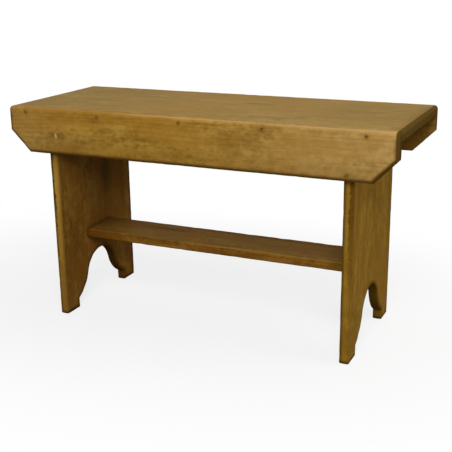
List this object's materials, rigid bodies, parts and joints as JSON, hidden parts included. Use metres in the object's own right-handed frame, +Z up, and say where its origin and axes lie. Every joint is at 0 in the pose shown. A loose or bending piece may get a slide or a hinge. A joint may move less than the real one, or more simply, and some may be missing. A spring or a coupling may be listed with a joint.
{
  "type": "bucket bench",
  "caption": "Low plank bench: flat seat between long aprons with cut corners, plank legs with ogee cut-outs, flat stretcher.",
  "frame": {"origin": "on the floor, under the middle of the bench", "axes": "+X along the seat, +Y towards the back, +Z up"},
  "size_m": [0.914, 0.356, 0.508],
  "materials": {
    "stained_pine": "golden brown stain, worn satin",
    "dark_iron": "dull, darkened"
  },
  "bodies": {
    "root": {"seat_board": "stained_pine", "front_apron": "stained_pine", "back_apron": "stained_pine", "left_leg": "stained_pine", "right_leg": "stained_pine", "stretcher": "stained_pine", "front_seat_nails": "dark_iron", "back_seat_nails": "dark_iron", "front_leg_nails": "dark_iron", "back_leg_nails": "dark_iron"}
  },
  "joints": []
}
